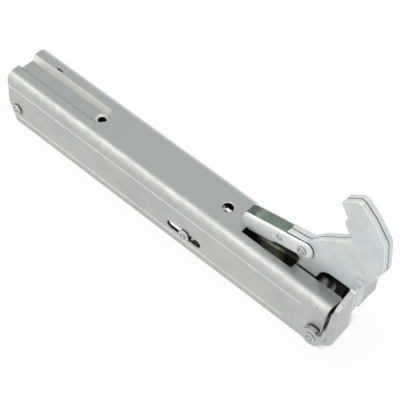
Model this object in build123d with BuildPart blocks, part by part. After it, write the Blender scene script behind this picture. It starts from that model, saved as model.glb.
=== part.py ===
from build123d import *
import math
import os

# Oven door hinge, lying on the open edges of its channel with the web on top.
# X runs from the spring end to the claw, Y across the channel, Z up. Millimetres.

# Channel, one folded steel sheet that is open below and at both ends
channel_length = 188.9
channel_width = 24.5
channel_height = 28.0
sheet = 1.5
channel_bend = 4.0
heel_cut_length = 4.5
heel_cut_height = 10.5
end_slant = 1.7
end_slant_height = 13.3
end_foot_slant = 1.9
toe_cut_length = 3.9
toe_cut_height = 2.5

# Pressed groove in the web, from the spring end
groove_length = 53.0
groove_width = 10.1
groove_floor_width = 6.8
groove_depth = 3.0
groove_wall = 1.2
groove_hole = 4.0
groove_hole_inset = 4.2
groove_dish = 6.8
groove_dish_angle = 140.0
nick_length = 3.6
nick_width = 0.8
nick_from_end = 15.5
nick_offset = 6.2

# Web hole and the opening that the claw and its lever pass through
web_hole = 5.0
web_hole_from_end = 124.2
web_hole_chamfer = 0.35
opening_start = 136.9
opening_width = 11.9
opening_length = 27.1
opening_corner = 0.5
slit_clearance = 0.55

# Press lines along both side walls
line_depth = 0.25
line_width = 0.5
upper_line_drop = 7.6
upper_line_length = 175.0
lower_line_drop = 24.2
lower_line_length = 166.5

# Pins through the side walls
running = 0.05
pivot_pin_radius = 2.0
pivot_head_radius = 2.5
pivot_head_height = 0.6
pivot_inset = 4.4
pivot_bush_wall = 1.5
pin_line_drop = 19.7
anchor_pin_radius = 1.7
anchor_head_radius = 2.2
anchor_from_end = 5.3
anchor_drop = 19.3
slide_pin_radius = 2.0
slide_head_radius = 2.9
slide_pin_from_end = 111.2
slide_travel = 6.9
slot_from_end = 100.7
slot_length = 19.8
slot_height = 4.3
head_height = 1.0
face_gap = 0.3

# Claw, two folded plates that lie face to face
claw_plate = 2.5
claw_overhang = 15.2
claw_bend_inside = 0.4
flange_inset = 7.3
flange_crown = 32.4
crown_round = 0.8
tab_gap = 0.5
tab_lobe = 4.6
press_mark_x = 11.0
press_mark_z = 36.6
press_mark_radius = 1.7
press_mark_depth = 0.45
lap = 0.1

# Outline of a claw plate from its heel up to the mouth and the tip and down to the
# flange, as x and z from the pivot, with the radius of each corner
heel_round = 0.8
claw_heel = ((-17.3, -4.0), (-19.5, -6.3), (-23.0, -5.2), (-24.2, 1.0))
claw_leg = ((-23.4, 10.5), (-20.5, 19.7))
claw_outline = (
    (-19.0, 24.7, 2.0), (-27.5, 27.7, 2.0), (-27.5, 35.4, 2.0), (-16.9, 37.1, 4.0), (-11.1, 43.8, 3.0),
    (3.4, 55.8, 0.9), (-1.2, 63.5, 1.6), (-0.5, 67.1, 1.4), (-4.6, 73.4, 1.2), (3.3, 79.8, 2.5),
    (10.7, 73.9, 5.0), (17.8, 65.3, 4.0), (18.9, 57.3, 3.0), (19.6, 49.8, 1.0), (17.0, 46.6, 1.5),
    (17.2, 44.2, 2.0), (11.3, 32.4, 1.0),
)

# Window between the cam edge and the flange, from the pivot
window_top = 28.0
window_corner = -2.8
window_back = ((-7.3, 26.0), (-9.5, 21.2))

# Upper and lower edge of each flange, as distance from the joint of the plates and
# height above the pivot, and the neck from the flange to the pivot, as x and z
near_crown = ((6.1, 26.9), (9.7, 25.3), (12.2, 23.2), (15.4, 10.8), (20.0, 10.8))
near_crown_start = 28.4
near_foot = ((0.0, 7.8), (1.2, 5.8), (15.4, 1.8), (20.0, 1.8))
near_neck = ((5.6, 9.7), (5.1, 4.9), (3.0, 3.4), (0.0, 3.0), (0.0, -3.0), (4.2, -1.8), (5.6, 0.4))
far_crown = ((12.25, 26.2), (15.4, 24.7), (20.0, 24.7))
far_crown_start = 31.0
far_foot = ((0.0, 15.0), (20.0, 15.0))
far_neck = ((3.0, 20.5), (-4.2, 1.9), (0.0, -2.0), (4.2, -1.9))

# Cam edge of the claw and the roller that the spring pulls against it
claw_swing = 86.0
roller_radius = 5.0
roller_back = 8.0
roller_rise = 12.0
roller_gap = 0.3
roller_pin_radius = 2.0
roller_pin_head_radius = 3.0
roller_side_gap = 0.15

# Link plates between the slide pin and the roller
link_sheet = 1.5
link_gap = 0.35
link_tail = 5.0
link_head = 4.4
spacer_radius = 3.3

# Hook bushes that carry the spring's hooks
bush_radius = 3.4
bush_waist = 2.6

# Extension spring
wire = 2.4
coil_outside = 14.0
coil_drop = 0.2
coil_back = 11.0
ring_count = 34
ring_flats = 16
ring_groove = 0.6
wire_flats = 8
hook_turn = 250.0

# Lock lever, a folded trough on the claw's nose
lever_sheet = 1.2
lever_inside = 5.6
lever_back = 17.8
lever_rise = 32.0
lever_tilt = 12.5
lever_arm_radius = 5.2
lever_arm_top = 4.4
lever_reach = 33.2
lever_floor = 5.4
lever_step = 16.4
lever_step_run = 0.5
lever_step_round = 1.0
lever_arm_low = 4.3
lever_arm_round = 3.8
lever_tail_round = 4.8
lever_tail_inside = 3.6
lever_fold = 1.4
lever_rivet_radius = 1.9
lever_head_radius = 2.3
lever_head_height = 0.7
dimple_radius = 1.35
dimple_back = 11.9
dimple_rise = 0.8
dimple_depth = 0.4

# Places that follow from the sizes
spring_end = -(channel_length + claw_overhang) / 2
claw_end = spring_end + channel_length
half_width = channel_width / 2
inner_half = half_width - sheet
pivot_x = claw_end - pivot_inset
pin_line_height = channel_height - pin_line_drop
anchor_height = channel_height - anchor_drop
pivot_z = pin_line_height
anchor_x = spring_end + anchor_from_end
slide_x = spring_end + slide_pin_from_end
slit_width = 2 * (claw_plate + slit_clearance)
flange_outside = flange_inset + claw_plate
tab_outside = half_width + tab_gap + claw_plate
link_inner = claw_plate + link_gap
link_outer = link_inner + link_sheet
roller_x = pivot_x - roller_back
roller_z = pivot_z + roller_rise
travel_per_radian = slide_travel / math.radians(claw_swing)
lever_half = lever_inside / 2 + lever_sheet


def side_plane(x=0.0, z=0.0, y=0.0):
    """A plane seen from the near side, with X to the right and Z up."""
    return Plane(origin=(x, y, z), x_dir=(1, 0, 0), z_dir=(0, -1, 0))


def headed_pin(x, z, radius, head_radius, head, span):
    """A pin across the hinge, with a bevelled head outside each face of a stack."""
    face = span / 2
    with BuildPart() as pin:
        with BuildSketch(Plane(origin=(x, 0, z), x_dir=(0, 1, 0), z_dir=(1, 0, 0))):
            Polygon((0, 0), (0, radius), (face, radius), (face, head_radius), (face + head / 2, head_radius),
                    (face + head, radius), (face + head, 0), align=None)
        revolve(axis=Axis((x, 0, z), (0, 1, 0)))
        mirror(about=Plane.XZ)
    return pin.part


def sleeve(x, z, low, high, radius, bore):
    """A plain tube across the hinge, from one Y to another."""
    with BuildPart() as tube:
        with BuildSketch(side_plane(x, z, high)):
            Circle(radius)
            Circle(bore, mode=Mode.SUBTRACT)
        extrude(amount=high - low)
    return tube.part


def hook_bush(x, z, bore):
    """A waisted bush whose groove seats a hook of the spring."""
    width = link_inner - roller_side_gap
    with BuildPart() as bush:
        with BuildSketch(Plane(origin=(x, 0, z), x_dir=(0, 1, 0), z_dir=(1, 0, 0))):
            with BuildLine():
                Polyline((-wire / 2, bush_waist), (-width, bush_radius), (-width, bore), (width, bore),
                         (width, bush_radius), (wire / 2, bush_waist), (-wire / 2, bush_waist))
            make_face()
        revolve(axis=Axis((x, 0, z), (0, 1, 0)))
    return bush.part


def cam_point(swing, offset):
    """Where the roller's edge lies in the claw when the claw has swung open by some degrees."""
    turn = math.radians(swing)
    across = -roller_back + travel_per_radian * turn
    run_x = -roller_rise + travel_per_radian
    run_z = across
    length = math.hypot(run_x, run_z)
    rim_x = across + offset * run_z / length
    rim_z = roller_rise - offset * run_x / length
    return (rim_x * math.cos(turn) - rim_z * math.sin(turn), rim_x * math.sin(turn) + rim_z * math.cos(turn))


# The channel starts as a folded section, and the web is then pressed and pierced
with BuildPart() as housing_channel:
    with BuildSketch(Plane.YZ.offset(spring_end)):
        with BuildLine():
            FilletPolyline((-half_width, 0), (-half_width, channel_height),
                           (half_width, channel_height), (half_width, 0), radius=channel_bend)
            offset(amount=sheet, side=Side.RIGHT)
        make_face()
    extrude(amount=channel_length)

    groove_taper = math.degrees(math.atan((groove_width - groove_floor_width) / 2 / groove_depth))
    groove_over = 2 * groove_depth
    groove_centre = spring_end + groove_length - groove_width / 2
    for depth, half, step, mode in (
        (groove_depth + sheet / 2, groove_width / 2 + groove_wall, sheet / 2, Mode.ADD),
        (groove_depth, groove_width / 2, 0, Mode.SUBTRACT),
    ):
        with BuildSketch(Plane.XY.offset(channel_height - step)):
            with Locations((groove_centre, 0)):
                Circle(half)
            with Locations((spring_end - groove_over, 0)):
                Rectangle(groove_length - groove_width / 2 + groove_over, 2 * half,
                          align=(Align.MIN, Align.CENTER))
        extrude(amount=-depth, taper=groove_taper, mode=mode)
    split(bisect_by=Plane.YZ.offset(spring_end), keep=Keep.TOP)

    with Locations((spring_end + groove_length - groove_hole_inset, 0, channel_height - groove_depth)):
        CounterSinkHole(groove_hole / 2, groove_dish / 2, counter_sink_angle=groove_dish_angle)
    with Locations((spring_end + web_hole_from_end, 0, channel_height)):
        CounterSinkHole(web_hole / 2, web_hole / 2 + web_hole_chamfer, counter_sink_angle=90, depth=2 * sheet)

    with BuildSketch(Plane.XY.offset(channel_height)):
        with BuildLine():
            start = spring_end + opening_start
            step = start + opening_length
            beyond = claw_end + sheet
            FilletPolyline((start, -opening_width / 2), (step, -opening_width / 2), (step, -slit_width / 2),
                           (beyond, -slit_width / 2), (beyond, slit_width / 2), (step, slit_width / 2),
                           (step, opening_width / 2), (start, opening_width / 2),
                           radius=(opening_corner, opening_corner, opening_corner, 0, 0,
                                   opening_corner, opening_corner, opening_corner), close=True)
        make_face()
        with Locations((spring_end + nick_from_end, nick_offset)):
            SlotOverall(nick_length, nick_width)
    extrude(amount=-2 * sheet, mode=Mode.SUBTRACT)

    with BuildSketch(side_plane()):
        with Locations((spring_end + slot_from_end + slot_length / 2, pin_line_height)):
            SlotOverall(slot_length, slot_height)
        with Locations((pivot_x, pivot_z)):
            Circle(pivot_pin_radius)
        with Locations((anchor_x, anchor_height)):
            Circle(anchor_pin_radius)
        with BuildLine():
            Polyline((spring_end, 0), (spring_end + heel_cut_length, 0), (spring_end, heel_cut_height),
                     close=True)
        make_face()
        with BuildLine():
            Polyline((claw_end, channel_height), (claw_end - end_slant, end_slant_height),
                     (claw_end - end_foot_slant, toe_cut_height), (claw_end - toe_cut_length, 0),
                     (claw_end + sheet, 0), (claw_end + sheet, channel_height), close=True)
        make_face()
    extrude(amount=channel_width, both=True, mode=Mode.SUBTRACT)

    for drop, length in ((upper_line_drop, upper_line_length), (lower_line_drop, lower_line_length)):
        for face in (-half_width, half_width):
            with Locations((spring_end + length / 2, face, channel_height - drop)):
                Box(length, 2 * line_depth, line_width, mode=Mode.SUBTRACT)
housing_channel.part.label = "housing_channel"


def claw_half(side, crown, foot, neck):
    """One claw plate: upright plate, end flange and the neck that reaches round to the pivot."""
    bend_start = flange_inset - claw_bend_inside
    above = flange_crown + claw_plate
    below = foot[-1][1] - claw_plate
    with BuildPart() as half:
        with BuildSketch(side_plane(pivot_x, pivot_z, side * claw_plate / 2)):
            with BuildLine():
                reach = roller_radius + roller_gap
                cam = ThreePointArc(*(cam_point(swing, reach) for swing in (0, claw_swing / 2, claw_swing)))
                heel = FilletPolyline(cam @ 1, *claw_heel, radius=heel_round)
                leg = ThreePointArc(heel @ 1, *claw_leg)
                claw = FilletPolyline(leg @ 1, *((x, z) for x, z, _ in claw_outline),
                                      (bend_start, flange_crown),
                                      radius=tuple(corner for _, _, corner in claw_outline))
                rim = Polyline(claw @ 1, (bend_start, window_top), (window_corner, window_top))
                back = ThreePointArc(rim @ 1, *window_back)
                Line(back @ 1, cam @ 0)
            make_face()
            with Locations((-lever_back, lever_rise)):
                Circle(lever_rivet_radius, mode=Mode.SUBTRACT)
        extrude(amount=claw_plate / 2, both=True)

        with BuildSketch(Plane.XY.offset(pivot_z + foot[-1][1])):
            with BuildLine():
                FilletPolyline((pivot_x + bend_start - lap, 0), (pivot_x + flange_outside, 0),
                               (pivot_x + flange_outside, side * tab_outside),
                               (pivot_x + bend_start - lap, side * tab_outside),
                               radius=claw_bend_inside + claw_plate)
                offset(amount=claw_plate, side=Side.LEFT if side > 0 else Side.RIGHT)
            make_face()
        extrude(amount=flange_crown - foot[-1][1])

        with BuildSketch(Plane.YZ.offset(pivot_x + bend_start - lap)):
            with BuildLine():
                edge = FilletPolyline(*((side * y, pivot_z + z) for y, z in crown), radius=crown_round)
                Polyline(edge @ 1, (side * crown[-1][0], pivot_z + above),
                         (side * crown[0][0], pivot_z + above), edge @ 0)
            make_face()
            with BuildLine():
                Polyline(*((side * y, pivot_z + z) for y, z in foot), (side * foot[-1][0], pivot_z + below),
                         (0, pivot_z + below), close=True)
            make_face()
        extrude(amount=2 * claw_plate, mode=Mode.SUBTRACT)

        with BuildSketch(side_plane(pivot_x, pivot_z, side * (tab_outside - claw_plate / 2))):
            Circle(tab_lobe)
            with BuildLine():
                Polyline((bend_start, crown[-1][1]), *neck, (bend_start, foot[-1][1]), close=True)
            make_face()
            Circle(pivot_pin_radius + running, mode=Mode.SUBTRACT)
        extrude(amount=claw_plate / 2, both=True)
    return half


# The near half reaches low and carries a press mark, and the far half joins its tab higher up
claw_near = claw_half(-1, ((claw_plate, near_crown_start), *near_crown), near_foot, near_neck)
with claw_near:
    mark_ball = (press_mark_radius**2 + press_mark_depth**2) / (2 * press_mark_depth)
    mark_y = press_mark_depth - claw_plate - mark_ball
    with Locations((pivot_x + press_mark_x, mark_y, pivot_z + press_mark_z)):
        Sphere(mark_ball, mode=Mode.SUBTRACT)
claw_near = claw_near.part
claw_near.label = "claw_near"
claw_far = claw_half(1, ((claw_plate, far_crown_start), *far_crown), far_foot, far_neck).part
claw_far.label = "claw_far"


# Lock lever: a trough with a closed tail, folded round the claw's nose
lever_plane = Plane(
    origin=(pivot_x - lever_back, 0, pivot_z + lever_rise),
    x_dir=(math.cos(math.radians(lever_tilt)), 0, math.sin(math.radians(lever_tilt))),
    z_dir=(0, -1, 0),
)
with BuildPart() as lock_lever:
    with BuildSketch(lever_plane):
        with BuildLine():
            FilletPolyline((lever_arm_radius, lever_arm_top), (lever_arm_radius, -lever_arm_low),
                           (lever_sheet - lever_step + lever_step_run, -lever_arm_low),
                           (-lever_step, -lever_floor),
                           (-lever_reach, -lever_floor), (-lever_reach, lever_arm_top),
                           radius=(lever_arm_round, lever_arm_round, lever_step_round, lever_step_round,
                                   lever_tail_round, lever_tail_round), close=True)
        make_face()
    extrude(amount=lever_half, both=True)
    fillet(lock_lever.edges().filter_by(Axis((0, 0, 0), lever_plane.x_dir)).group_by(Axis.Z)[0], lever_fold)
    with BuildSketch(lever_plane):
        with BuildLine():
            back = lever_sheet - lever_reach
            floor = lever_sheet - lever_floor
            lip = lever_sheet - lever_step
            clear = 2 * lever_floor
            FilletPolyline((back, floor), (lip, floor), (lip, -clear), (clear, -clear), (clear, clear),
                           (back, clear), radius=(lever_tail_inside, 0, 0, 0, 0, 0), close=True)
        make_face()
    extrude(amount=lever_inside / 2, both=True, mode=Mode.SUBTRACT)
    with BuildSketch(lever_plane):
        Circle(lever_rivet_radius + running)
    extrude(amount=lever_half, both=True, mode=Mode.SUBTRACT)
    with BuildSketch(lever_plane.offset(lever_half)):
        with Locations((-dimple_back, dimple_rise)):
            Circle(dimple_radius)
    extrude(amount=-dimple_depth, mode=Mode.SUBTRACT)
lock_lever.part.label = "lock_lever"


def link_plate(side):
    """A bar that ties the slide pin to the roller."""
    with BuildPart() as plate:
        with BuildSketch(side_plane(0, 0, side * (link_inner + link_sheet / 2))):
            with Locations((slide_x, pin_line_height)):
                Circle(link_tail)
            with Locations((roller_x, roller_z)):
                Circle(link_head)
            make_hull()
            with Locations((slide_x, pin_line_height)):
                Circle(slide_pin_radius + running, mode=Mode.SUBTRACT)
            with Locations((roller_x, roller_z)):
                Circle(roller_pin_radius, mode=Mode.SUBTRACT)
        extrude(amount=link_sheet / 2, both=True)
    return plate.part


# Extension spring, pulled between the anchor pin and the slide pin. Its many turns
# are rings with flats, waisted where two turns meet
coil_axis = anchor_height - coil_drop
coil_radius = coil_outside / 2
coil_start = anchor_x + coil_back
coil_end = slide_x - coil_back
with BuildPart() as spring:
    half_pitch = (coil_end - coil_start) / ring_count / 2
    for place in range(2 * ring_count + 1):
        cut = Plane(origin=(coil_start + place * half_pitch, 0, coil_axis), x_dir=(0, 1, 0), z_dir=(1, 0, 0))
        with BuildSketch(cut):
            RegularPolygon(coil_radius - ring_groove * (1 - place % 2), ring_flats)
    loft(ruled=True)
    with BuildSketch(Plane(origin=(coil_start, 0, coil_axis), x_dir=(0, 1, 0), z_dir=(1, 0, 0))):
        RegularPolygon(coil_radius - wire, ring_flats)
    extrude(amount=coil_end - coil_start, mode=Mode.SUBTRACT)

    loop = bush_waist + wire / 2 + running
    hook_start = coil_axis + coil_radius - wire / 2 - ring_groove / 2
    for pin_x, pin_z, end, way in (
        (anchor_x, anchor_height, coil_start, -1),
        (slide_x, pin_line_height, coil_end, 1),
    ):
        with BuildLine(side_plane()):
            lead = FilletPolyline((end - way * wire, hook_start), (end + way * wire, hook_start),
                                  (pin_x - way * loop, pin_z + loop), (pin_x, pin_z + loop), radius=wire)
            CenterArc((pin_x, pin_z), loop, 90, -way * hook_turn)
        with BuildSketch(Plane(origin=lead @ 0, z_dir=lead % 0)):
            RegularPolygon(wire / 2, wire_flats)
        sweep()
spring.part.label = "spring"

pieces = {
    "housing_channel": housing_channel.part,
    "claw_near": claw_near,
    "claw_far": claw_far,
    "lock_lever": lock_lever.part,
    "spring": spring.part,
    "anchor_pin": headed_pin(anchor_x, anchor_height, anchor_pin_radius, anchor_head_radius, head_height,
                             channel_width),
    "anchor_bush": hook_bush(anchor_x, anchor_height, anchor_pin_radius + running),
    "slide_pin": headed_pin(slide_x, pin_line_height, slide_pin_radius, slide_head_radius, head_height,
                            channel_width + 2 * face_gap),
    "slide_bush": hook_bush(slide_x, pin_line_height, slide_pin_radius + running),
    "slide_spacer_near": sleeve(slide_x, pin_line_height, face_gap - inner_half, -link_outer - running,
                                spacer_radius, slide_pin_radius + running),
    "slide_spacer_far": sleeve(slide_x, pin_line_height, link_outer + running, inner_half - face_gap,
                               spacer_radius, slide_pin_radius + running),
    "link_near": link_plate(-1),
    "link_far": link_plate(1),
    "roller_pin": headed_pin(roller_x, roller_z, roller_pin_radius, roller_pin_head_radius, head_height,
                             2 * link_outer),
    "roller": sleeve(roller_x, roller_z, roller_side_gap - link_inner, link_inner - roller_side_gap,
                     roller_radius, roller_pin_radius + running),
    "pivot_pin": headed_pin(pivot_x, pivot_z, pivot_pin_radius, pivot_head_radius, pivot_head_height,
                            2 * (tab_outside + running)),
    "pivot_bush": sleeve(pivot_x, pivot_z, running - inner_half, inner_half - running,
                         pivot_pin_radius + pivot_bush_wall, pivot_pin_radius),
    "lever_rivet": headed_pin(pivot_x - lever_back, pivot_z + lever_rise, lever_rivet_radius,
                              lever_head_radius, lever_head_height, 2 * (lever_half + running)),
}

os.makedirs("parts", exist_ok=True)
for name, piece in pieces.items():
    piece.label = name
    export_step(piece, "parts/" + name + ".step")
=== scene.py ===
# %% [markdown]
# # An oven door hinge in zinc-plated steel
# The hinge is a long folded channel that goes into the door. A claw of two steel plates sticks
# out of one end, a spring inside the channel pulls on it, and a small lever holds it open.
# The solids are already made, so this lesson dresses them: camera, studio, plating, and the
# one piece that needs its own mesh, the wound spring. Everything is in metres.

# %% Load the solids and note their size
import bpy
import bmesh
from math import atan, cos, pi, radians, sin
from mathutils import Matrix, Vector


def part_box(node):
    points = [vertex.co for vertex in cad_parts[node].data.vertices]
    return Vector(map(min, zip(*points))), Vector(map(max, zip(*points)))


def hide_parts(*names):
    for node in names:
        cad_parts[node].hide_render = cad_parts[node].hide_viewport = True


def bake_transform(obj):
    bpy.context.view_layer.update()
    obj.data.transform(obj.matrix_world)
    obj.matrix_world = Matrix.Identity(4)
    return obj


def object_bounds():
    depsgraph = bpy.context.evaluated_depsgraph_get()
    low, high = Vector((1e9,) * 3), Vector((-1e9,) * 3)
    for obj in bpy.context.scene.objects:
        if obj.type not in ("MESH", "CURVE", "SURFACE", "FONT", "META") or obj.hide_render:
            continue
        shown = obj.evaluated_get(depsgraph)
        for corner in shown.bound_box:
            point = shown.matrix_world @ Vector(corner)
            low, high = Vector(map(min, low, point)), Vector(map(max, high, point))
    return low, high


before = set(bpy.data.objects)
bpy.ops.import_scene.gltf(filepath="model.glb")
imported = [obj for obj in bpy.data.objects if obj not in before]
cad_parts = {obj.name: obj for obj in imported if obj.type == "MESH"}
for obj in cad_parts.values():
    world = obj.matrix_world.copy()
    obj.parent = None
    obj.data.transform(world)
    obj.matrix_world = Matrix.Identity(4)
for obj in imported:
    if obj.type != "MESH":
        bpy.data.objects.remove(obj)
size_of_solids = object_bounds()
scene = bpy.context.scene
MM = 0.001
print("solids:", ", ".join(sorted(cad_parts)))

# %% [markdown]
# ## The camera
# A long lens stands in for the catalogue photographer's. It looks down on the near side wall
# and along the channel, so that the far end looks slightly smaller. Its three directions are
# written out, because they give the tilt and the roll at the same time.

# %% Stand the camera
VIEW_RIGHT = Vector((0.7363, 0.6753, 0.0423))
VIEW_DOWN = Vector((0.5429, -0.5524, -0.6326))
VIEW_AHEAD = Vector((-0.4038, 0.4887, -0.7733))
CAMERA_PLACE = Vector((0.25575, -0.30175, 0.4967))

lens = bpy.data.cameras.new("camera")
lens.lens = 128.25
lens.sensor_width = 36.0
lens.clip_start = 0.01
camera = bpy.data.objects.new("camera", lens)
scene.collection.objects.link(camera)
turn = Matrix((VIEW_RIGHT, -VIEW_DOWN, -VIEW_AHEAD)).transposed().to_4x4()
camera.matrix_world = Matrix.Translation(CAMERA_PLACE) @ turn
scene.camera = camera
scene.view_settings.view_transform = "Standard"
print("camera stands", round(CAMERA_PLACE.length, 3), "m from the middle of the hinge")

# %% [markdown]
# ## Wiring nodes
# A material is a small network, so a few helpers keep the cells short. They add a node and fill
# its inputs, do one step of arithmetic, stretch a range of values, mix two colours, and make or
# place a group with named sockets. Blender's own calls could do the same one at a time, but the
# recipe would be lost among them.

# %% Helpers that add nodes
def fill(tree, socket, value):
    """Types a value into an input, or links a socket to it."""
    if isinstance(value, bpy.types.NodeSocket):
        tree.links.new(value, socket)
    else:
        socket.default_value = value


def add(tree, kind, inputs=None, **settings):
    node = tree.nodes.new("ShaderNode" + kind)
    for name, value in settings.items():
        setattr(node, name, value)
    for key, value in (inputs or {}).items():
        fill(tree, node.inputs[key], value)
    return node


def maths(tree, operation, first, second=0.0, third=0.0, clamp=False):
    inputs = {0: first, 1: second, 2: third}
    return add(tree, "Math", inputs, operation=operation, use_clamp=clamp).outputs[0]


def remap(tree, value, low, high, to_low=0.0, to_high=1.0, kind="LINEAR"):
    inputs = {"Value": value, "From Min": low, "From Max": high,
              "To Min": to_low, "To Max": to_high}
    return add(tree, "MapRange", inputs, interpolation_type=kind).outputs["Result"]


def blend_colour(tree, factor, first, second, way="MIX"):
    """Mixes two colours; the node has a set of sockets for each kind, so they go by number."""
    inputs = {0: factor, 6: first, 7: second}
    return add(tree, "Mix", inputs, data_type="RGBA", blend_type=way).outputs[2]


print("node helpers ready")

# %% Helpers for groups
def new_group(name, inputs, outputs):
    """A node group; inputs are (name, kind, value) and outputs are (name, kind)."""
    tree = bpy.data.node_groups.new(name, "ShaderNodeTree")
    for label, kind, value in inputs:
        socket = tree.interface.new_socket(label, in_out="INPUT", socket_type="NodeSocket" + kind)
        socket.default_value = value
    for label, kind in outputs:
        tree.interface.new_socket(label, in_out="OUTPUT", socket_type="NodeSocket" + kind)
    given = tree.nodes.new("NodeGroupInput").outputs
    out = tree.nodes.new("NodeGroupOutput").inputs
    return tree, given, out


def place_group(tree, group, inputs=None):
    node = tree.nodes.new("ShaderNodeGroup")
    node.node_tree = group
    for key, value in (inputs or {}).items():
        fill(tree, node.inputs[key], value)
    return node.outputs


print("group helpers ready")

# %% [markdown]
# ## The white table
# The hinge lies on a shining white table, as in a catalogue. The floor is a plain sheet whose
# own glow makes the white, so that the lamps can stay low enough for grey steel. A part of it
# is ordinary paint, which keeps a faint shadow. What the steel mirrors close under the channel
# is dim, and so is the floor that shows through the openings round the claw, because a real
# table is dark where a box stands over it.

# %% Lay the floor
FLOOR_HALF = 2.0
FLOOR_DROP = 0.2 * MM

floor_level = size_of_solids[0][2] - FLOOR_DROP
floor_mesh = bpy.data.meshes.new("studio_floor")
sheet = bmesh.new()
bmesh.ops.create_grid(sheet, x_segments=1, y_segments=1, size=FLOOR_HALF)
bmesh.ops.translate(sheet, verts=sheet.verts, vec=(0, 0, floor_level))
sheet.to_mesh(floor_mesh)
sheet.free()
studio_floor = bpy.data.objects.new("studio_floor", floor_mesh)
scene.collection.objects.link(studio_floor)
print("floor at z =", round(floor_level, 4))

# %% Paint the floor
GLOW_SHARE = 0.92
SHADE_REACH = 50 * MM
SHADE_EDGES = (0.22, 0.55)
FOOT_MIDDLE = 48 * MM
FOOT_LENGTH_EDGES = (40 * MM, 38 * MM)
FOOT_WIDTH_EDGES = (12.2 * MM, 11.8 * MM)


def seen_rays(tree):
    """1 for what the camera, a metal or a glass sees, and 0 for light that only bounces."""
    rays = add(tree, "LightPath").outputs
    total = maths(tree, "ADD", rays["Is Camera Ray"], rays["Is Glossy Ray"])
    return maths(tree, "ADD", total, rays["Is Transmission Ray"], clamp=True)


table_white = bpy.data.materials.new("table_white")
table_white.use_nodes = True
tree = table_white.node_tree
tree.nodes.clear()
paint = add(tree, "BsdfDiffuse", {"Color": (0.95, 0.95, 0.95, 1)}).outputs[0]
glow = add(tree, "Emission", {"Color": (1, 1, 1, 1), "Strength": 1.0}).outputs[0]
openness = add(tree, "AmbientOcclusion", {"Distance": SHADE_REACH}, samples=8).outputs["AO"]
open_floor = remap(tree, openness, *SHADE_EDGES)
point = add(tree, "SeparateXYZ", {0: add(tree, "TexCoord").outputs["Object"]}).outputs
off_middle = maths(tree, "ABSOLUTE", maths(tree, "SUBTRACT", point["X"], FOOT_MIDDLE))
off_line = maths(tree, "ABSOLUTE", point["Y"])
under = maths(tree, "MULTIPLY", remap(tree, off_line, *FOOT_WIDTH_EDGES),
              remap(tree, off_middle, *FOOT_LENGTH_EDGES))
clear = maths(tree, "SUBTRACT", add(tree, "LightPath").outputs["Is Camera Ray"], under)
open_floor = maths(tree, "MAXIMUM", open_floor, clear)
share = maths(tree, "MULTIPLY", maths(tree, "MULTIPLY", open_floor, GLOW_SHARE), seen_rays(tree))
mixed = add(tree, "MixShader", {0: share, 1: paint, 2: glow}).outputs[0]
add(tree, "OutputMaterial", {"Surface": mixed})
floor_mesh.materials.append(table_white)
print("floor glows at", GLOW_SHARE)

# %% [markdown]
# ## The light tent and the lamps
# Plated steel has hardly a colour of its own: it shows the room. A white tent all round gives
# the even grey of the flat faces, and a long softbox off the near side draws the bright line
# along the rounded corner of the channel. The tent is the world, white where metal looks at
# it and weaker as a lamp, so that nothing burns out.

# %% Put up the tent
TENT_AS_LAMP = 0.75

tent = bpy.data.worlds.new("tent")
scene.world = tent
tent.use_nodes = True
tree = tent.node_tree
tree.nodes.clear()
strength = remap(tree, seen_rays(tree), 0.0, 1.0, TENT_AS_LAMP, 1.0)
backdrop = add(tree, "Background", {"Color": (1, 1, 1, 1), "Strength": strength}).outputs[0]
add(tree, "OutputWorld", {"Surface": backdrop})
print("tent lights at", TENT_AS_LAMP)

# %% Hang two softboxes
def softbox(name, direction, distance, width, height, power):
    """A rectangular lamp that hangs in that direction and looks at the middle of the hinge."""
    lamp = bpy.data.lights.new(name, "AREA")
    lamp.shape = "RECTANGLE"
    lamp.size = width
    lamp.size_y = height
    lamp.energy = power
    holder = bpy.data.objects.new(name, lamp)
    scene.collection.objects.link(holder)
    away = Vector(direction).normalized()
    holder.location = away * distance
    holder.rotation_euler = away.to_track_quat("Z", "Y").to_euler()


softbox("near_softbox", (-0.40, -0.60, 0.69), distance=1.2, width=1.3, height=0.60, power=1.7)
softbox("top_softbox", (0.15, 0.10, 1.0), distance=1.3, width=0.7, height=0.7, power=2.5)
print("two softboxes hang")

# %% [markdown]
# ## What zinc plating looks like
# Bright zinc on pressed steel is not one grey. Rolling leaves fine streaks along the sheet,
# the bath leaves soft clouds a few millimetres wide with a cool and a warm tint, and handling
# leaves short scuffs. The rounded edges get a painted highlight, and the crevices get painted
# shade. Each effect is a node group, made once and used in every finish with its own amounts.
# An image could hold them, but it would not follow the folds, and noise on the object's own
# coordinates does.

# %% Group: clouds in the plating
TINT_EDGES = (0.38, 0.62)
TINT_SCALE_SHARE = 0.43

cloud_group, given, out = new_group(
    "plating_clouds",
    [("Scale", "Float", 180.0), ("Low", "Float", 0.38), ("High", "Float", 0.62)],
    [("Mask", "Float"), ("Tint", "Float")],
)
place = add(cloud_group, "TexCoord").outputs["Object"]
broad = add(cloud_group, "TexNoise", {"Vector": place, "Scale": given["Scale"], "Detail": 5.0,
                                      "Roughness": 0.6, "Distortion": 0.4}).outputs[0]
cloud_mask = remap(cloud_group, broad, given["Low"], given["High"], kind="SMOOTHSTEP")
cloud_group.links.new(cloud_mask, out["Mask"])
tint_scale = maths(cloud_group, "MULTIPLY", given["Scale"], TINT_SCALE_SHARE)
tint = add(cloud_group, "TexNoise", {"Vector": place, "Scale": tint_scale,
                                     "Detail": 2.0}).outputs[0]
cloud_group.links.new(remap(cloud_group, tint, *TINT_EDGES, kind="SMOOTHSTEP"), out["Tint"])
print("group", cloud_group.name)

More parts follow.
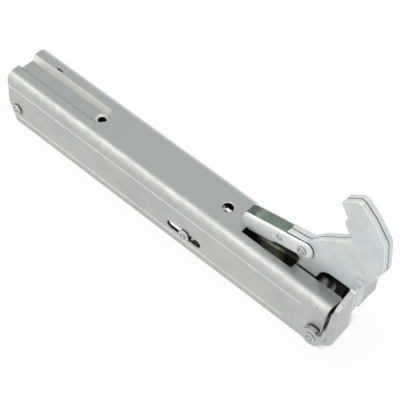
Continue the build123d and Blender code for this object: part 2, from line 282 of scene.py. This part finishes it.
# %% Group: streaks along the rolled sheet
streak_group, given, out = new_group(
    "rolled_streaks",
    [("Along", "Vector", (6.0, 900.0, 900.0)), ("Detail", "Float", 3.0)],
    [("Height", "Float")],
)
place = add(streak_group, "TexCoord").outputs["Object"]
drawn = add(streak_group, "VectorMath", {0: place, 1: given["Along"]},
            operation="MULTIPLY").outputs[0]
streaks = add(streak_group, "TexNoise", {"Vector": drawn, "Scale": 1.0,
                                         "Detail": given["Detail"], "Roughness": 0.65}).outputs[0]
streak_group.links.new(streaks, out["Height"])
print("group", streak_group.name)

# %% Group: grain and shallow waves of the plated skin
skin_group, given, out = new_group(
    "plated_skin",
    [("Grain", "Float", 2600.0), ("Waves", "Float", 260.0), ("Wave share", "Float", 0.7)],
    [("Height", "Float")],
)
place = add(skin_group, "TexCoord").outputs["Object"]
grain = add(skin_group, "TexNoise", {"Vector": place, "Scale": given["Grain"], "Detail": 3.0,
                                     "Roughness": 0.6}).outputs[0]
waves = add(skin_group, "TexNoise", {"Vector": place, "Scale": given["Waves"],
                                     "Detail": 2.0}).outputs[0]
skin = add(skin_group, "Mix", {0: given["Wave share"], 2: grain, 3: waves}).outputs[0]
skin_group.links.new(skin, out["Height"])
print("group", skin_group.name)

# %% Group: short scuffs
WANDER = (12 * MM, 12 * MM, 12 * MM)
PATCH_EDGES = (0.55, 0.68)

scuff_group, given, out = new_group(
    "handling_scuffs",
    [("Scale", "Float", 90.0), ("Amount", "Float", 0.04)],
    [("Mask", "Float")],
)
place = add(scuff_group, "TexCoord").outputs["Object"]
wander = add(scuff_group, "TexNoise", {"Vector": place, "Scale": 60.0,
                                       "Detail": 2.0}).outputs["Color"]
bent = add(scuff_group, "VectorMath", {0: wander, 1: WANDER, 2: place},
           operation="MULTIPLY_ADD").outputs[0]
cells = add(scuff_group, "TexVoronoi", {"Vector": bent, "Scale": given["Scale"]},
            feature="DISTANCE_TO_EDGE").outputs["Distance"]
line = remap(scuff_group, cells, 0.0, given["Amount"], 1.0, 0.0)
where = add(scuff_group, "TexNoise", {"Vector": place, "Scale": 140.0, "Detail": 1.0}).outputs[0]
patch = remap(scuff_group, where, *PATCH_EDGES)
scuff_group.links.new(maths(scuff_group, "MULTIPLY", line, patch), out["Mask"])
print("group", scuff_group.name)

# %% Group: rounded edges, and a mask for their painted highlight
LEAST_TURN = 0.01

edge_group, given, out = new_group(
    "rounded_edges_highlight",
    [("Radius", "Float", 0.0004), ("Sharpness", "Float", 0.08)],
    [("Mask", "Float"), ("Normal", "Vector")],
)
rounded = add(edge_group, "Bevel", {"Radius": given["Radius"]}, samples=6).outputs[0]
flat = add(edge_group, "NewGeometry").outputs["Normal"]
agree = add(edge_group, "VectorMath", {0: rounded, 1: flat},
            operation="DOT_PRODUCT").outputs["Value"]
differ = maths(edge_group, "SUBTRACT", 1.0, agree)
edge_group.links.new(remap(edge_group, differ, LEAST_TURN, given["Sharpness"]), out["Mask"])
edge_group.links.new(rounded, out["Normal"])
print("group", edge_group.name)

# %% Group: painted shade in the crevices
crevice_group, given, out = new_group(
    "painted_crevice_shade",
    [("Reach", "Float", 0.002), ("Closed", "Float", 0.25), ("Open", "Float", 0.75)],
    [("Mask", "Float")],
)
open_share = add(crevice_group, "AmbientOcclusion", {"Distance": given["Reach"]},
                 samples=6).outputs["AO"]
crevice_shade = remap(crevice_group, open_share, given["Closed"], given["Open"], 1.0, 0.0)
crevice_group.links.new(crevice_shade, out["Mask"])
print("group", crevice_group.name)

# %% [markdown]
# ## One recipe for the plated pieces
# The finishes differ in colour, in how fine the grain is and in how bright the painted highlight
# on their edges is, but they are one process, so one function lays the layers in the same order:
# tinted clouds, then streaks, scuffs, the painted highlight on the edges and the painted shade in
# the crevices. The shader takes its plain values on its own sockets, and only what changes over
# the surface is wired.

# %% The plating recipe
STREAK_EDGES = (0.3, 0.7)
STREAK_RELIEF = 0.35
SCUFF_SHARE = 0.28
SCUFF_LIGHT = 1.3
EDGE_HIGHLIGHT_SHARE = 0.75
CREVICE_SHADE_LIGHT = 0.22
ROUGH_SWING = 0.02


def lit(colour, factor):
    """The colour made lighter or darker, with the alpha that a socket wants."""
    return tuple(min(1.0, factor * value) for value in colour) + (1,)


def plated(name, colour, cool, warm, roughness, edge_highlight=1.22, edge_radius=0.0004, streaks=0.0,
           clouds=180.0, cloud_depth=0.10, bump=0.04, bump_height=0.0002, waves=260.0, crevice_shade=0.6):
    """A zinc finish; returns the material, its tree and its shader."""
    finish = bpy.data.materials.new(name)
    finish.use_nodes = True
    tree = finish.node_tree
    tree.nodes.clear()
    cloud = place_group(tree, cloud_group, {"Scale": clouds})
    edges = place_group(tree, edge_group, {"Radius": edge_radius})
    scuffs = place_group(tree, scuff_group)["Mask"]
    skin = place_group(tree, skin_group, {"Waves": waves})["Height"]
    # Painted shade where ambient occlusion finds the surface enclosed.
    crevice_shade_mask = place_group(tree, crevice_group)["Mask"]
    tinted = blend_colour(tree, cloud["Tint"], (*cool, 1), (*warm, 1))
    shade = remap(tree, cloud["Mask"], 0.0, 1.0, 1.0 - cloud_depth, 1.0 + cloud_depth)
    relief = skin
    if streaks:
        drawn = place_group(tree, streak_group)["Height"]
        streaked = remap(tree, drawn, *STREAK_EDGES, 1.0 - streaks, 1.0 + streaks)
        shade = maths(tree, "MULTIPLY", shade, streaked)
        relief = maths(tree, "MULTIPLY_ADD", drawn, STREAK_RELIEF, skin)
    coat = blend_colour(tree, 1.0, tinted, shade, "MULTIPLY")
    # Scuffs are wear; the edge mask lays a painted highlight and the crevice mask lays painted
    # shade.
    for mask, amount, laid in ((scuffs, SCUFF_SHARE, lit(colour, SCUFF_LIGHT)),
                               (edges["Mask"], EDGE_HIGHLIGHT_SHARE, lit(colour, edge_highlight)),
                               (crevice_shade_mask, crevice_shade, lit(colour, CREVICE_SHADE_LIGHT))):
        coat = blend_colour(tree, maths(tree, "MULTIPLY", mask, amount), coat, laid)
    rough = remap(tree, cloud["Mask"], 0.0, 1.0, roughness + ROUGH_SWING, roughness - ROUGH_SWING)
    bumps = add(tree, "Bump", {"Strength": bump, "Distance": bump_height, "Height": relief,
                               "Normal": edges["Normal"]}).outputs[0]
    shader = add(tree, "BsdfPrincipled", {"Base Color": coat, "Metallic": 1.0, "Roughness": rough,
                                          "Normal": bumps})
    add(tree, "OutputMaterial", {"Surface": shader.outputs[0]})
    return finish, tree, shader


def dress(node, finish):
    """Gives a solid its finish by filling its material slots."""
    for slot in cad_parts[node].material_slots:
        slot.material = finish


print("recipe ready")

# %% [markdown]
# ## The channel
# The channel is cold-rolled strip, folded after it was rolled, so its streaks run along it on
# all three faces, and its outer bends are uneven. Painted shade makes the web, which faces up, a
# little darker and bluer than the walls, a painted highlight runs along the near bend and the
# press lines, and painted shade makes the inside nearly black. Masks from a point's place and
# from the way that it faces tell these zones apart, so no seams or painted images are needed. A
# pair called EDGES says where such a mask begins and where it is full.

# %% Helpers that tell where a point is
def place_of(tree):
    """Distance from the middle plane, and x, y and z of the point."""
    axes = add(tree, "SeparateXYZ", {0: add(tree, "TexCoord").outputs["Object"]}).outputs
    return maths(tree, "ABSOLUTE", axes["Y"]), axes["X"], axes["Y"], axes["Z"]


def facing(tree, axis):
    """How far the surface faces along an axis, from -1 to 1."""
    return add(tree, "SeparateXYZ", {0: add(tree, "TexCoord").outputs["Normal"]}).outputs[axis]


def distance_from(tree, value, centre):
    return maths(tree, "ABSOLUTE", maths(tree, "SUBTRACT", value, centre))


def product(tree, *masks):
    result = masks[0]
    for mask in masks[1:]:
        result = maths(tree, "MULTIPLY", result, mask)
    return result


def spot(tree, centre, outer, inner, counts=(1, 1, 1)):
    """1 close to a point and 0 beyond the outer distance; counts leaves an axis out of it."""
    away = add(tree, "VectorMath", {0: add(tree, "TexCoord").outputs["Object"], 1: centre},
               operation="SUBTRACT").outputs[0]
    away = add(tree, "VectorMath", {0: away, 1: counts}, operation="MULTIPLY").outputs[0]
    distance = add(tree, "VectorMath", {0: away}, operation="LENGTH").outputs["Value"]
    return remap(tree, distance, outer, inner)


print("place helpers ready")

# %% Helpers that lay one more coat
def tint_zone(tree, shader, mask, amount, colour):
    """Lays a colour over the finish where the mask is on."""
    below = shader.inputs["Base Color"].links[0].from_socket
    laid = blend_colour(tree, maths(tree, "MULTIPLY", mask, amount), below, (*colour, 1))
    tree.links.new(laid, shader.inputs["Base Color"])


def more_bump(tree, shader, relief, strength, height):
    """Adds a relief on top of the bumps that the shader has already."""
    below = shader.inputs["Normal"].links[0].from_socket
    bumps = add(tree, "Bump", {"Strength": strength, "Distance": height, "Height": relief,
                               "Normal": below}).outputs[0]
    tree.links.new(bumps, shader.inputs["Normal"])


print("coat helpers ready")

# %% Dress the channel
WEB_EDGES = (0.90, 0.995)

channel_zinc, tree, shader = plated(
    "channel_zinc", (0.55, 0.56, 0.54), (0.525, 0.535, 0.52), (0.545, 0.55, 0.52), 0.42,
    edge_highlight=1.3, edge_radius=0.25 * MM, streaks=0.025, clouds=130.0, cloud_depth=0.015,
    bump=0.14, bump_height=0.12 * MM, crevice_shade=0.5,
)
half_across, along, across, height = place_of(tree)
upward = facing(tree, "Z")
shaded_web = remap(tree, upward, *WEB_EDGES)
# The web that faces up gets painted shade: a darker, bluer tint.
tint_zone(tree, shader, shaded_web, amount=0.85, colour=(0.345, 0.366, 0.362))
print("base coats of the channel laid")

# %% Uneven bends of the channel, and a painted highlight on the near bend
BEND_WALL_EDGES = (0.10, 0.45)
BEND_WEB_EDGES = (0.99, 0.90)
BEND_HEIGHT_EDGES = (23.5 * MM, 24.5 * MM)
NEAR_EDGES = (0.0, -5.0 * MM)
HIGHLIGHT_EDGES = (0.38, 0.60)
FAINTEST = 0.25

bend = product(tree, remap(tree, upward, *BEND_WALL_EDGES), remap(tree, upward, *BEND_WEB_EDGES),
               remap(tree, height, *BEND_HEIGHT_EDGES))
drawn_out = add(tree, "Mapping", {"Vector": add(tree, "TexCoord").outputs["Object"],
                                  "Scale": (0.45, 1.0, 1.0)}).outputs[0]
uneven = add(tree, "TexNoise", {"Vector": drawn_out, "Scale": 420.0, "Detail": 4.0,
                                "Roughness": 0.6}).outputs[0]
highlight_spots = remap(tree, uneven, *HIGHLIGHT_EDGES, FAINTEST, 1.0)
near_side = remap(tree, across, *NEAR_EDGES, FAINTEST, 1.0)
# A painted highlight, patchy with the noise, along the near outer bend.
tint_zone(tree, shader, product(tree, bend, highlight_spots, near_side), amount=0.7,
          colour=(0.70, 0.71, 0.67))
more_bump(tree, shader, maths(tree, "MULTIPLY", uneven, bend), strength=0.3, height=0.2 * MM)
print("bends are uneven")

# %% Press lines with a painted highlight
WALL_EDGES = (11.5 * MM, 11.7 * MM)
LINE_EDGES = (0.62 * MM, 0.248 * MM)
PRESS_LINES = ((20.4 * MM, 73.0 * MM), (3.8 * MM, 64.5 * MM))

on_wall = remap(tree, half_across, *WALL_EDGES)
for line_height, line_end in PRESS_LINES:
    line_highlight = product(tree, on_wall,
                     remap(tree, distance_from(tree, height, line_height), *LINE_EDGES),
                     remap(tree, along, line_end + MM, line_end))
    # Each press line gets a thin painted highlight.
    tint_zone(tree, shader, line_highlight, amount=0.85, colour=(0.90, 0.91, 0.87))
print(len(PRESS_LINES), "press lines highlighted")

# %% A painted highlight on a groove wall and painted shade on its near lip
GROOVE_WIDTH_EDGES = (6.2 * MM, 5.8 * MM)
GROOVE_LENGTH_EDGES = (-47.0 * MM, -48.0 * MM)
GROOVE_HEIGHT_EDGES = (24.8 * MM, 25.2 * MM)
GROOVE_WALL_EDGES = (-0.35, -0.6)
LIP_AT = -4.9 * MM
LIP_EDGES = (0.6 * MM, 0.3 * MM)
LIP_LENGTH_EDGES = (-51.5 * MM, -52.5 * MM)

in_groove = product(tree, remap(tree, half_across, *GROOVE_WIDTH_EDGES),
                    remap(tree, along, *GROOVE_LENGTH_EDGES),
                    remap(tree, height, *GROOVE_HEIGHT_EDGES))
groove_wall_highlight = product(tree, in_groove, remap(tree, facing(tree, "Y"), *GROOVE_WALL_EDGES))
# Painted highlight on the groove wall that faces the near side.
tint_zone(tree, shader, groove_wall_highlight, amount=0.9, colour=(0.84, 0.85, 0.80))
lip_shade = product(tree, in_groove, remap(tree, distance_from(tree, across, LIP_AT), *LIP_EDGES),
              remap(tree, along, *LIP_LENGTH_EDGES))
# Painted shade along the groove's near lip.
tint_zone(tree, shader, lip_shade, amount=0.75, colour=(0.12, 0.135, 0.13))
print("groove tinted")

# %% Painted shadow beside the anchor pin, and a nick in the wall
PIN_SHADOW_AT = (-95.9 * MM, 0.0, 9.1 * MM)
PIN_SHADOW_EDGES = (3.4 * MM, 2.6 * MM)
WALL_NICK = (81.6 * MM, -12.2 * MM, 24.9 * MM)
NICK_EDGES = (0.6 * MM, 0.3 * MM)
NICK_COLOUR = (0.10, 0.10, 0.10)

pin_shadow = product(tree, on_wall, spot(tree, PIN_SHADOW_AT, *PIN_SHADOW_EDGES, counts=(1, 0, 1)))
# A patch of painted shadow on the wall, beside the anchor pin's head.
tint_zone(tree, shader, pin_shadow, amount=0.75, colour=(0.10, 0.11, 0.10))
tint_zone(tree, shader, spot(tree, WALL_NICK, *NICK_EDGES), amount=0.7, colour=NICK_COLOUR)
print("wall marked")

# %% Painted shade inside the channel
INSIDE_WIDTH_EDGES = (10.9 * MM, 10.7 * MM)
INSIDE_HEIGHT_EDGES = (27.9 * MM, 27.8 * MM)
INSIDE_FACING_EDGES = (0.25, 0.15)
INSIDE_LENGTH_EDGES = (86.0 * MM, 85.0 * MM)

inside_shade = product(tree, remap(tree, half_across, *INSIDE_WIDTH_EDGES),
                 remap(tree, height, *INSIDE_HEIGHT_EDGES),
                 remap(tree, upward, *INSIDE_FACING_EDGES),
                 remap(tree, along, *INSIDE_LENGTH_EDGES))
# The inner faces get painted shade, nearly black.
tint_zone(tree, shader, inside_shade, amount=0.93, colour=(0.03, 0.033, 0.03))
dress("housing_channel", channel_zinc)
print("dressed the channel")

# %% [markdown]
# ## The claw and its lever
# The claw is blanked from thick plate and plated bright, nearly white, with a faint green and
# blue bloom, and it is greyer where its flanges and tabs are folded out. A dark line shows where
# the two plates meet, painted shade darkens the part that runs inside the channel and a crease on
# the near tab, and each flange has a nick. The lever is thin sheet with the same plating; a
# painted reflection makes the inside of its trough darker and greener, and painted shade rings
# the pressed dimple on its near arm.

# %% Dress the claw
FOLDED_EDGES = (3.0 * MM, 3.6 * MM)
JOINT_EDGES = (0.38 * MM, 0.16 * MM)

claw_zinc, tree, shader = plated(
    "claw_zinc", (0.68, 0.72, 0.715), (0.62, 0.685, 0.70), (0.66, 0.69, 0.67), 0.36,
    edge_highlight=1.6, edge_radius=0.8 * MM, clouds=150.0, cloud_depth=0.04, bump=0.10,
    bump_height=0.12 * MM,
)
half_across, along, across, height = place_of(tree)
folded_part = remap(tree, half_across, *FOLDED_EDGES)
tint_zone(tree, shader, folded_part, amount=0.75, colour=(0.45, 0.46, 0.44))
joint = remap(tree, half_across, *JOINT_EDGES)
tint_zone(tree, shader, joint, amount=0.92, colour=(0.05, 0.06, 0.06))
print("base coats of the claw laid")

# %% Painted shade along a crease on the near tab, and a nick on each flange
CREASE_START = 89.15 * MM
CREASE_SLOPE = 0.27
CREASE_LOW = 11.2 * MM
CREASE_HIGH = 20.5 * MM
CREASE_EDGES = (0.35 * MM, 0.15 * MM)
NEAR_FACE_EDGES = (-15.0 * MM, -15.2 * MM)
CLAW_NICKS = ((92.25 * MM, -13.92 * MM, 18.77 * MM), (92.25 * MM, 5.4 * MM, 25.5 * MM))

crease_side = maths(tree, "MULTIPLY_ADD", height, -CREASE_SLOPE, along)
off_crease = distance_from(tree, crease_side, CREASE_START - CREASE_SLOPE * CREASE_LOW)
crease_shade = product(tree, remap(tree, off_crease, *CREASE_EDGES),
                 remap(tree, across, *NEAR_FACE_EDGES),
                 remap(tree, height, CREASE_LOW, CREASE_LOW + MM),
                 remap(tree, height, CREASE_HIGH, CREASE_HIGH - MM))
# A dark line of painted shade along the crease.
tint_zone(tree, shader, crease_shade, amount=0.7, colour=(0.12, 0.11, 0.10))
for nick in CLAW_NICKS:
    tint_zone(tree, shader, spot(tree, nick, *NICK_EDGES), amount=0.75, colour=NICK_COLOUR)
print("claw marked")

# %% Painted shade where the claw runs inside the channel
CLAW_SHADE_HEIGHT_EDGES = (26.8 * MM, 25.8 * MM)
CLAW_SHADE_WIDTH_EDGES = (3.0 * MM, 2.7 * MM)
CLAW_SHADE_LENGTH_EDGES = (88.5 * MM, 87.5 * MM)

claw_inside_shade = product(tree, remap(tree, height, *CLAW_SHADE_HEIGHT_EDGES),
                  remap(tree, half_across, *CLAW_SHADE_WIDTH_EDGES),
                  remap(tree, along, *CLAW_SHADE_LENGTH_EDGES))
# Painted shade, nearly black, on the part of the claw inside the channel.
tint_zone(tree, shader, claw_inside_shade, amount=0.85, colour=(0.05, 0.055, 0.05))
for node in ("claw_near", "claw_far"):
    dress(node, claw_zinc)
print("dressed the claw")

# %% Dress the lever
TROUGH_WIDTH_EDGES = (2.8 * MM, 2.5 * MM)
TROUGH_LENGTH_EDGES = (34.5 * MM, 36.5 * MM)
PRESSED_AT = (52.86 * MM, -4.0 * MM, 38.51 * MM)
RIM_OUTER_EDGES = (1.9 * MM, 1.5 * MM)
RIM_INNER_EDGES = (0.8 * MM, 1.2 * MM)

lever_zinc, tree, shader = plated(
    "lever_zinc", (0.80, 0.83, 0.80), (0.76, 0.80, 0.78), (0.80, 0.82, 0.785), 0.38,
    clouds=220.0, cloud_depth=0.05, bump=0.10, bump_height=0.1 * MM, edge_highlight=1.15, crevice_shade=0.45,
)
half_across, along, _, _ = place_of(tree)
trough_reflection = product(tree, remap(tree, half_across, *TROUGH_WIDTH_EDGES),
                 remap(tree, along, *TROUGH_LENGTH_EDGES))
# Painted reflection: the trough is darker and greener inside.
tint_zone(tree, shader, trough_reflection, amount=0.85, colour=(0.28, 0.42, 0.365))
dimple_shade = product(tree, spot(tree, PRESSED_AT, *RIM_OUTER_EDGES),
              spot(tree, PRESSED_AT, *RIM_INNER_EDGES))
# A ring of painted shade round the pressed dimple.
tint_zone(tree, shader, dimple_shade, amount=0.55, colour=(0.30, 0.32, 0.30))
dress("lock_lever", lever_zinc)
print("dressed the lever")

# %% [markdown]
# ## Links, pins and rollers
# The links are plated in yellow zinc, which looks olive in the shade of the channel, and both
# ends of them get painted shade. Pins and rollers are turned from bar, so their heads carry fine
# rings about their own axis and a ring of painted shade at the centre drill; the roller, its pin
# and the pivot bush are painted dark as shade. The rings come from the distance to that axis: a
# wave of it gives the height of a bump.

# %% Dress the links
SHADED_END_EDGES = ((48.5 * MM, 52.5 * MM), (40.5 * MM, 36.5 * MM))

link_zinc, tree, shader = plated(
    "link_zinc", (0.92, 0.91, 0.70), (0.86, 0.86, 0.66), (0.95, 0.93, 0.68), 0.42,
    clouds=240.0, cloud_depth=0.12, bump=0.10, bump_height=0.1 * MM,
)
_, along, _, _ = place_of(tree)
# Both ends of the links get painted shade.
for edges in SHADED_END_EDGES:
    tint_zone(tree, shader, remap(tree, along, *edges), amount=0.92, colour=(0.04, 0.05, 0.045))
for node in ("link_near", "link_far"):
    dress(node, link_zinc)
print("dressed the links")

# %% Group: rings of a turned face
ring_group, given, out = new_group(
    "turned_rings",
    [("Centre", "Vector", (0.0, 0.0, 0.0)), ("Rings per metre", "Float", 3400.0)],
    [("Height", "Float"), ("Distance", "Float")],
)
place = add(ring_group, "TexCoord").outputs["Object"]
offset = add(ring_group, "VectorMath", {0: place, 1: given["Centre"]},
             operation="SUBTRACT").outputs[0]
across_axis = add(ring_group, "VectorMath", {0: offset, 1: (1, 0, 1)},
                  operation="MULTIPLY").outputs[0]
distance = add(ring_group, "VectorMath", {0: across_axis}, operation="LENGTH").outputs["Value"]
phase = maths(ring_group, "MULTIPLY", distance, given["Rings per metre"])
ring_group.links.new(maths(ring_group, "SINE", phase), out["Height"])
ring_group.links.new(distance, out["Distance"])
print("group", ring_group.name)

# %% Dress the turned pieces
BRIGHT = ("anchor_pin", "slide_pin", "pivot_pin", "lever_rivet", "anchor_bush", "slide_bush",
          "slide_spacer_near", "slide_spacer_far")
# The roller, its pin and the pivot bush are painted dark: painted shade.
SHADED_TURNED = ("pivot_bush", "roller_pin", "roller")
BRIGHT_STEEL = (0.60, 0.61, 0.60)
SHADE_DARK_STEEL = (0.13, 0.137, 0.128)
COOL_LIGHT = 0.92
DRILLED_RADIUS = 1.3 * MM
DRILLED_EDGES = (0.40 * MM, 0.16 * MM)
DRILL_SHADE_LIGHT = 0.2


def axis_of(node):
    """Where the axis of a turned solid crosses the middle plane."""
    low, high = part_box(node)
    return (low[0] + high[0]) / 2, 0.0, (low[2] + high[2]) / 2


def turned(node, colour):
    """Turned steel has rings about its axis, and a ring of painted shade marks the centre drill.
    """
    finish, tree, shader = plated(
        node + "_steel", colour, lit(colour, COOL_LIGHT)[:3], colour, 0.32,
        edge_highlight=1.3, edge_radius=0.2 * MM, clouds=420.0, bump=0.08, bump_height=0.1 * MM,
    )
    rings = place_group(tree, ring_group, {"Centre": axis_of(node)})
    drill_shade = remap(tree, distance_from(tree, rings["Distance"], DRILLED_RADIUS), *DRILLED_EDGES)
    # A ring of painted shade at the centre drill.
    tint_zone(tree, shader, drill_shade, amount=0.85, colour=lit(colour, DRILL_SHADE_LIGHT)[:3])
    more_bump(tree, shader, rings["Height"], strength=0.35, height=0.05 * MM)
    dress(node, finish)


for nodes, steel in ((BRIGHT, BRIGHT_STEEL), (SHADED_TURNED, SHADE_DARK_STEEL)):
    for node in nodes:
        turned(node, steel)
print("dressed", len(BRIGHT) + len(SHADED_TURNED), "turned pieces")

# %% [markdown]
# ## The spring
# The real spring is 34 touching turns of drawn wire, and each end is bent up and over into a
# hook. The solid is only ribbed, so the wire gets its own mesh: a circle of twelve points is
# spun about the spring's axis while it creeps forward by one wire for each turn, and then the
# same ring of edges is spun on round a small bend, down a long curve and round its pin. A curve
# with a bevel would be shorter, but spin keeps the rings square to the wire where it bends
# sharply.

# %% Measures of the spring
WIRE = 1.2 * MM
WIRE_POINTS = 12
COIL = 5.8 * MM
COIL_HEIGHT = 8.5 * MM
COIL_START = -84.55 * MM
COIL_END = -3.05 * MM
TURNS = 34
TURN_STEPS = 28
BEND = 2.0 * MM
BEND_STEPS = 6
HOOK = 3.85 * MM
HOOK_TURN = radians(205)
HOOK_STEPS = 20
SAME_POINT = 0.01 * MM

pins = [axis_of("anchor_pin"), axis_of("slide_pin")]
lean = atan(BEND / COIL)
print("pins at", [tuple(round(value / MM, 2) for value in pin) for pin in pins])

# %% Wind the coil
def spin_on(ring, centre, axis, angle, steps, creep=0.0):
    """Spins a ring of edges on, as one more stretch of the same wire, and gives its new end."""
    result = bmesh.ops.spin(wire, geom=ring, cent=centre, axis=axis, angle=angle, steps=steps,
                            dvec=Vector(axis).normalized() * creep, use_duplicate=False,
                            use_merge=False)
    return [part for part in result["geom_last"] if isinstance(part, bmesh.types.BMEdge)]


coil_middle = (COIL_START, 0, COIL_HEIGHT)
wire = bmesh.new()
first = bmesh.ops.create_circle(wire, cap_ends=False, segments=WIRE_POINTS, radius=WIRE)["verts"]
bmesh.ops.rotate(wire, verts=first, cent=(0, 0, 0), matrix=Matrix.Rotation(radians(90), 3, "X"))
bmesh.ops.translate(wire, verts=first, vec=(COIL_START, 0, COIL_HEIGHT + COIL))
bmesh.ops.rotate(wire, verts=first, cent=coil_middle, matrix=Matrix.Rotation(lean, 3, "X"))
first_ring = list(wire.edges)
steps = TURNS * TURN_STEPS
last_ring = spin_on(first_ring, coil_middle, (1, 0, 0), 2 * pi * TURNS - 2 * lean, steps,
                    (COIL_END - COIL_START) / steps)
print("coil wound:", len(wire.faces), "faces")

# %% Bend both hooks
def middle(ring):
    corners = {corner for edge in ring for corner in edge.verts}
    return sum((corner.co for corner in corners), Vector()) / len(corners)


for ring, (pin_x, _, pin_z), way in ((first_ring, pins[0], -1), (last_ring, pins[1], 1)):
    start = middle(ring)
    bend_axis = (0, way * sin(lean), cos(lean))
    ring = spin_on(ring, start + Vector((way * BEND, 0, 0)), bend_axis, radians(90), BEND_STEPS)
    start = middle(ring)
    reach = abs(pin_x - start.x)
    rise = start.z - pin_z
    sweep = (reach**2 + rise**2 - HOOK**2) / (2 * (rise - HOOK))
    drop = atan(reach / (sweep - rise))
    ring = spin_on(ring, (start.x, start.y, start.z - sweep), (0, way, 0), drop, BEND_STEPS)
    ring = spin_on(ring, (pin_x, start.y, pin_z), (0, way, 0), HOOK_TURN, HOOK_STEPS)
    bmesh.ops.holes_fill(wire, edges=ring, sides=0)
bmesh.ops.remove_doubles(wire, verts=wire.verts, dist=SAME_POINT)
bmesh.ops.recalc_face_normals(wire, faces=wire.faces)
print("wire with hooks:", len(wire.faces), "faces")

# %% Make the spring a piece of its own, in place of the ribbed solid
spring_mesh = bpy.data.meshes.new("wound_spring")
wire.to_mesh(spring_mesh)
wire.free()
for face in spring_mesh.polygons:
    face.use_smooth = True
wound_spring = bpy.data.objects.new("wound_spring", spring_mesh)
scene.collection.objects.link(wound_spring)
spring_steel, _, _ = plated(
    "spring_steel", (0.44, 0.44, 0.45), (0.36, 0.37, 0.39), (0.42, 0.41, 0.39), 0.36,
    edge_highlight=1.0, clouds=300.0, cloud_depth=0.12, bump=0.08, bump_height=0.1 * MM,
)
spring_mesh.materials.append(spring_steel)
dress("spring", spring_steel)
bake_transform(wound_spring)
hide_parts("spring")
print("spring spans", round((pins[1][0] - pins[0][0]) / MM, 1), "mm between its pins")
